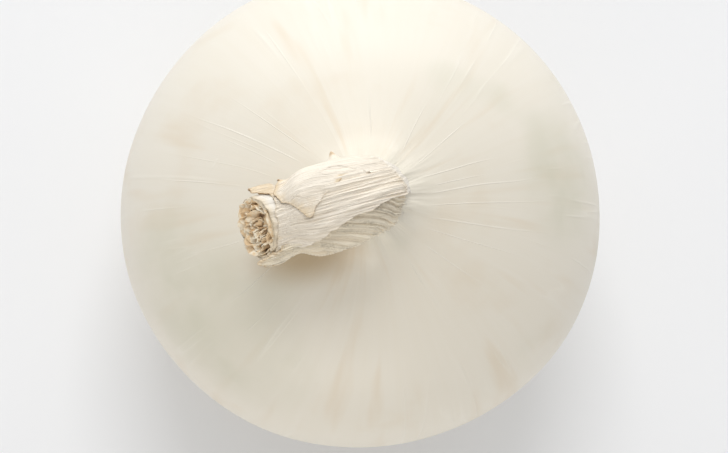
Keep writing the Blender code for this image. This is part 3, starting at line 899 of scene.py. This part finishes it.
def makeUpperSheath(finish):
    def spotAt(along, across):
        end = alongTable(across, upper["ends"]) * mm + ragged(across * 2, upper["ragged"], 8.2)
        distance = blend(upper["start"], end, along)
        edge = alongTable(distance / mm, upper["edge"]) + waver(along, upper["waver"])
        angle = blend(edge, upper["far"], across)
        tips = hump(distance, 8.8 * mm, 0.7 * mm) * hump(across, 0, 0.05)
        tips = tips + eased(scrapAt(distance, angle), 0.35, 0.7)
        torn = tornAt(distance, end, upper["torn"]) + upper["tipBrown"] * tips
        return distance, angle, np.clip(torn, 0, 1)

    def standOffAt(along, across, distance, angle):
        # the near edge lies on the wrap, and the middle stands a little off it
        over = blend(-0.08 * mm, 0.1 * mm, eased(distance, 10 * mm, 13 * mm))
        over = blend(over, upper["overWrap"], eased(across, 0.02, 0.3))
        over = blend(over, upper["overWrapEnd"], eased(along, 0.75, 1))
        point = sheaths["pointLift"] * eased(distance, 17 * mm, 19.5 * mm) * eased(angle, 66, 88)
        over = over + upper["overPoint"] * point + upper["scrapLift"] * scrapAt(distance, angle)
        return sunkFoot(wrapLift(distance, angle) + over, distance, upper["start"])

    def reliefAt(distance, around):
        pleats = pleatsAt(around + 5 * distance, distance, *upper["pleats"], level=0.5)
        swells = upper["swellDepth"] * streakNoise(around, distance, *upper["swells"])
        return pleats + pleatsAt(around, distance, *upper["fine"]) + swells

    paper = bentPaper("upperSheath", upper["counts"], spotAt, standOffAt, reliefAt)
    finishPiece(paper, finish, "upper_sheath")


def makeLowerSheath(finish):
    def spotAt(along, across):
        endAngle = blend(wrap["edge"][-1][1] + lower["tuck"], lower["far"], across)
        end = alongTable(endAngle, lower["ends"]) * mm + ragged(across, lower["ragged"], 5.5)
        distance = blend(lower["start"], end, along)
        angle = blend(wrapEdgeAt(distance) + lower["tuck"], lower["far"], across)
        return distance, angle, tornAt(distance, end, lower["torn"])

    def standOffAt(along, across, distance, angle):
        middle = eased(distance, 4 * mm, 8 * mm) * (1 - eased(distance, 15 * mm, 19 * mm))
        loose = lower["loose"] * eased(-angle, 50, 85) + lower["looseUnder"] * eased(-angle, 95, 135)
        # towards its end it spreads into flaps that lie flatter than the neck's side
        flared = lower["flare"] * eased(distance, 17.5 * mm, 22.5 * mm) * eased(-angle, 58, 96)
        # by the wrap's edge it fills most of the gap
        past = wrapEdgeAt(distance) - angle
        filled = lower["fill"] * (1 - eased(past, 4, 30)) * eased(past, -14, -4)
        return sunkFoot(snugLift(distance) + loose * middle + flared + filled, distance, lower["start"])

    def reliefAt(distance, around):
        pleats = pleatsAt(around, distance, *lower["pleats"], level=0.6)
        return pleats + pleatsAt(around, distance, *lower["fine"])

    def twistAt(distance):
        # its pleats run aslant, but straight on in the flaps
        return lower["twist"] * np.clip(distance / mm, *lower["twisted"])

    paper = bentPaper("lowerSheath", lower["counts"], spotAt, standOffAt, reliefAt, twistAt)
    finishPiece(paper, finish, "lower_sheath")


# the crumpled leaf ends in the cut end: one roll of leaf, with a plug that closes the mouth under it. The
# plug and the roll's deep parts are coloured dark as painted shade in the cut end's hollows

cutEnd = {
    "counts": (14, 620),
    "turns": 5.6,
    "outerShare": 0.88,
    "innerShare": 0.08,
    "crumple": 0.15,
    "fineCrumple": 0.07,
    "flare": 0.10,
    "bottom": 2.4 * mm,
    "top": 0.05 * mm,           # under the cut, as the other depths
    "uneven": ((1.0 * mm, 48, 2.2), (0.6 * mm, 125, 5.2)),
    "sinkInwards": 0.45 * mm,
    "proudUnder": 0.4 * mm,     # how far it stands out at the neck's underside
    "lowest": 2.0 * mm,
    "hole": (0.26, 0.16),
    "holeReach": 0.3,
    "holeDepth": 2.0 * mm,
    "thickness": 0.11 * mm,
    "plugShare": 0.82,
    "plugDepth": 2.15 * mm,
    "plugHalf": 0.45 * mm,
    "plugBumps": 0.5 * mm,
}


def makeCutLeafBases(finish):
    roll, along, across = makePaper("cutLeafBases", *cutEnd["counts"])
    around = across * cutEnd["turns"] * 2 * math.pi
    underside = 0.5 - 0.5 * np.cos(around)
    share = blend(cutEnd["outerShare"], cutEnd["innerShare"], across)
    share = share + cutEnd["crumple"] * streakNoise(around, along, 2.6, 1.1, across * 9)
    share = share + cutEnd["fineCrumple"] * streakNoise(around, along, 8, 2, across * 23)
    share = share * (1 + cutEnd["flare"] * along)
    holeX, holeY = cutEnd["hole"]
    aside = np.hypot(share * np.cos(around) - holeX, share * np.sin(around) - holeY)
    top = cutEnd["top"] + waver(across, cutEnd["uneven"]) + cutEnd["sinkInwards"] * across
    top = top + cutEnd["holeDepth"] * hump(aside, 0, cutEnd["holeReach"]) - cutEnd["proudUnder"] * underside
    depth = blend(cutEnd["bottom"], np.minimum(top, cutEnd["lowest"]), along)
    # inside the mouth its wall limits the roll, above the rim it may spread a little
    limit = blend(0.80 + 0.09 * underside, 1.05, eased(depth, 0.5 * mm, -0.2 * mm))
    share = np.clip(share * (1 + 0.08 * underside), 0.02, limit)
    movePoints(roll, inMouth(share, depth, around))
    storeFlow(roll, around, along)
    # how far up the roll: low down the finish paints it dark as shade, higher up tan and pale
    storeNumber(roll, "torn", along)
    thicken(roll, cutEnd["thickness"], 0)

    plug, ball, around = makeBall("plug", 64, 40)
    x, y, z = ball.T
    share = np.hypot(x, y)
    bumps = cutEnd["plugBumps"] * noiseAt(x * 3, y * 3, 0.5) * (z > 0)
    depth = cutEnd["plugDepth"] - z * cutEnd["plugHalf"] - bumps
    movePoints(plug, inMouth(cutEnd["plugShare"] * share, depth, around))
    storeFlow(plug, around, share)
    # the plug is coloured all dark, as painted shade
    storeNumber(plug, "torn", np.zeros(len(share)))
    selectOnly(roll)
    plug.select_set(True)
    bpy.ops.object.join()
    finishPiece(roll, finish, "cut_leaf_bases")


# the root disc with its rootlets

rootTuft = {
    "discRadius": 6.8 * mm,
    "discTop": 4.65 * mm,
    "discBottom": 3.15 * mm,
    "knobs": 0.35 * mm,
    "waves": 0.2 * mm,
    "count": 90,
    "kinds": ((2.6, 0.5), (3.4, 0.9), (2.2, 0.2), (3.8, 1.2)),      # length in mm and curl
    "radius": 0.28 * mm,
    "spread": 0.92,             # of the disc's radius
    "floorGap": 0.25 * mm,
    "seed": 11,
}


def makeRootlet(length, curl):
    bpy.ops.curve.primitive_bezier_curve_add(radius=1, location=(0, 0, 0))
    curve = bpy.context.object.data
    curve.bevel_depth = rootTuft["radius"]
    curve.bevel_resolution = 1
    curve.use_fill_caps = True
    curve.resolution_u = 8
    start, end = curve.splines[0].bezier_points
    start.co, end.co = Vector((0, 0, 0.8)) * mm, Vector((curl * length, 0, -0.55 * length)) * mm
    start.radius, end.radius = 1.2, 0.55
    for point in (start, end):
        point.handle_left_type = point.handle_right_type = "FREE"
    start.handle_right = Vector((0.1, 0.15 * curl, -0.5 * length)) * mm
    end.handle_left = Vector((curl * length * 0.5, 0.5 * curl, -0.75 * length)) * mm
    bpy.ops.object.convert(target="MESH")
    return bpy.context.object


def makeRootTuft(finish):
    disc, ball, around = makeBall("rootTuft", 96, 36)
    x, y, z = ball.T
    share = np.hypot(x, y) ** 0.8
    middle = (rootTuft["discTop"] + rootTuft["discBottom"]) / 2
    half = (rootTuft["discTop"] - rootTuft["discBottom"]) / 2
    knobs = rootTuft["knobs"] * noiseAt(x * 9, y * 9, 1.0) + rootTuft["waves"] * np.cos(share * 14)
    height = middle + half * np.sign(z) * np.abs(z) ** 0.35 + knobs * (z < 0)
    movePoints(disc, ringPoint(rootTuft["discRadius"] * share, around, height))
    draw = random.Random(rootTuft["seed"])
    kinds = [makeRootlet(length, curl) for length, curl in rootTuft["kinds"]]
    selectOnly(disc)
    for number in range(rootTuft["count"]):
        source = kinds[number % len(kinds)]
        strand = source.copy()
        strand.data = source.data.copy()
        bpy.context.collection.objects.link(strand)
        strand.select_set(True)
        # each next one is a golden angle on and a little further out
        turn = number * math.radians(137.5) + draw.uniform(-0.2, 0.2)
        start = rootTuft["spread"] * rootTuft["discRadius"] * math.sqrt((number + 0.5) / rootTuft["count"])
        strand.location = (start * math.cos(turn), start * math.sin(turn), rootTuft["discBottom"])
        strand.rotation_euler = (
            draw.uniform(-0.25, 0.25), draw.uniform(-0.2, 0.2), turn + draw.uniform(-0.7, 0.7))
        strand.scale = [draw.uniform(0.75, 1.1)] * 3
    for source in kinds:
        bpy.data.objects.remove(source, do_unlink=True)
    bpy.ops.object.join()
    points = pointsOf(disc)
    points[:, 2] = np.maximum(points[:, 2], rootTuft["floorGap"])
    movePoints(disc, points)
    finishPiece(disc, finish, "root_tuft")


# floor, light and camera

studio = {
    "floor": (0.89, 0.895, 0.91),
    "sky": 0.55,
    # strength, width, height, distance, tilt from straight above and turn from the picture's top towards
    # its right in degrees, colour
    "lamps": {
        "window": (17.3, 2.6, 0.6, 1.8, 75, -2, (0.955, 0.98, 1.0)),
        "overhead": (5.7, 0.6, 0.5, 1.3, 35, -4, (1.0, 1.0, 1.0)),
        "bounceCard": (8.7, 1.6, 0.5, 1.8, 76, 190, (1.0, 0.955, 0.865)),
    },
    "lampTarget": 0.04,                 # height of the point that the lamps face
    "imageTurn": math.radians(15.5),    # how far the neck's lean is turned down from the picture's left
    # the camera looks down almost straight, from a little to the side that the neck leans to
    "cameraTilt": math.radians(6.3),
    "cameraSide": (-0.82, -0.57),       # to the picture's right and top
    "cameraDistance": 0.52,
    "cameraAim": (0.56 * mm, -2.7 * mm),
    "lens": 136.5,
}


def makeStudio():
    bpy.ops.mesh.primitive_plane_add(size=4, location=(0, 0, 0))
    floor = bpy.context.object
    floor.name = "floor"
    paint = bpy.data.materials.new("floorPaper")
    paint.use_nodes = True
    shader = paint.node_tree.nodes["Principled BSDF"]
    shader.inputs["Base Color"].default_value = (*studio["floor"], 1)
    shader.inputs["Roughness"].default_value = 0.9
    shader.inputs["Specular IOR Level"].default_value = 0.1
    floor.data.materials.append(paint)

    world = bpy.data.worlds.new("studioSky")
    world.use_nodes = True
    sky = world.node_tree.nodes["Background"]
    sky.inputs["Color"].default_value = (1, 1, 1, 1)
    sky.inputs["Strength"].default_value = studio["sky"]
    bpy.context.scene.world = world

    turn = studio["imageTurn"]
    right, up = Vector((math.cos(turn), -math.sin(turn), 0)), Vector((math.sin(turn), math.cos(turn), 0))
    for name, (strength, width, height, distance, tilt, turned, colour) in studio["lamps"].items():
        tilt, turned = math.radians(tilt), math.radians(turned)
        level = up * math.cos(turned) + right * math.sin(turned)
        direction = level * math.sin(tilt) + Vector((0, 0, math.cos(tilt)))
        bpy.ops.object.light_add(
            type="AREA", location=direction * distance + Vector((0, 0, studio["lampTarget"])))
        lamp = bpy.context.object
        lamp.name = name
        lamp.data.shape = "RECTANGLE"
        lamp.data.size, lamp.data.size_y = width, height
        lamp.data.energy = strength
        lamp.data.color = colour
        lamp.rotation_euler = direction.to_track_quat("Z", "Y").to_euler()

    tilt = studio["cameraTilt"]
    toRight, toTop = studio["cameraSide"]
    aside = (right * toRight + up * toTop).normalized()
    back = (Vector((0, 0, 1)) * math.cos(tilt) + aside * math.sin(tilt)).normalized()
    cameraRight = up.cross(back).normalized()
    cameraUp = back.cross(cameraRight)
    aimRight, aimUp = studio["cameraAim"]
    target = Vector((0, 0, form["equatorHeight"])) + cameraRight * aimRight + cameraUp * aimUp
    bpy.ops.object.camera_add(location=target + back * studio["cameraDistance"])
    camera = bpy.context.object
    camera.name = "camera"
    camera.rotation_euler = Matrix((cameraRight, cameraUp, back)).transposed().to_euler()
    camera.data.lens = studio["lens"]
    camera.data.sensor_width = 36
    camera.data.clip_end = 10
    bpy.context.scene.camera = camera
    bpy.context.scene.view_settings.view_transform = "Standard"


makeStudio()
print("studio ready")
leafVeins, strayVein = makeLeafVeins(), makeStrayVein()
makeSkin(makeSkinFinish())
print("skin ready")
whiteSheath = makeSheathFinish("whiteSheath")
makeNeckWrap(whiteSheath)
makeUpperSheath(whiteSheath)
makeLowerSheath(makeSheathFinish("strawSheath"))
print("sheaths ready")
makeCutLeafBases(makeCutFinish())
print("cut end ready")
makeRootTuft(makeRootFinish())
print("roots ready")
